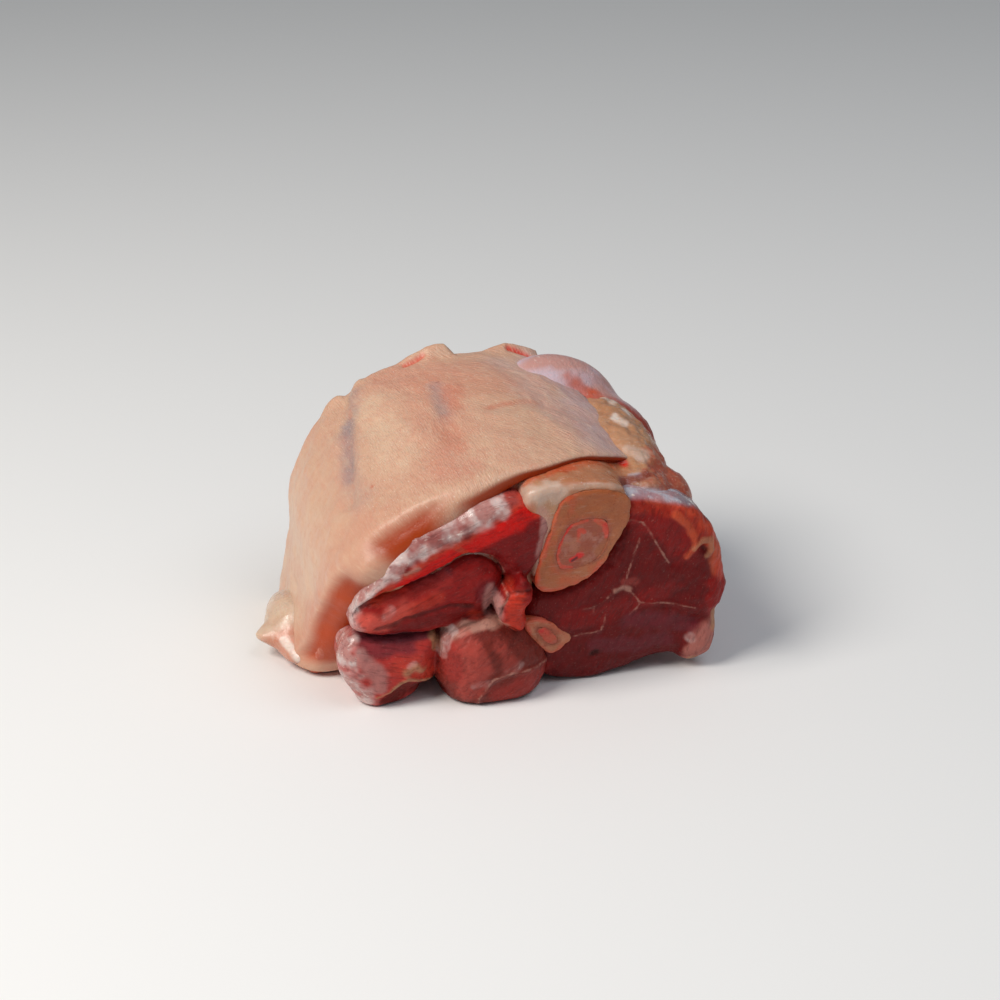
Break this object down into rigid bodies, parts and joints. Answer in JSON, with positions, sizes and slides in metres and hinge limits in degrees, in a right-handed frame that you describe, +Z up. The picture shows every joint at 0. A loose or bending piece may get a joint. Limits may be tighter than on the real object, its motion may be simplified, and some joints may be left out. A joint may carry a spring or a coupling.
{
  "type": "raw pork hock",
  "caption": "Thick slice of raw pork hock lying on its side: rind over the top, muscles and two sawn bones showing at both cut faces.",
  "frame": {"origin": "middle of the footprint on the table, at the lowest point", "axes": "+X across the sawn face from the rind side to the bare side, +Y along the bones away from the front cut, +Z up"},
  "size_m": [0.1362, 0.0902, 0.0869],
  "materials": {
    "lean": "moist, soft sheen",
    "rind": "smooth skin, soft sheen",
    "fat": "waxy",
    "bone": "sawn, moist",
    "marrow": "grainy, moist"
  },
  "bodies": {
    "root": {"meat": "lean", "tibia": "bone", "tibia_marrow": "marrow", "fibula": "bone", "fibula_marrow": "marrow"}
  },
  "joints": []
}
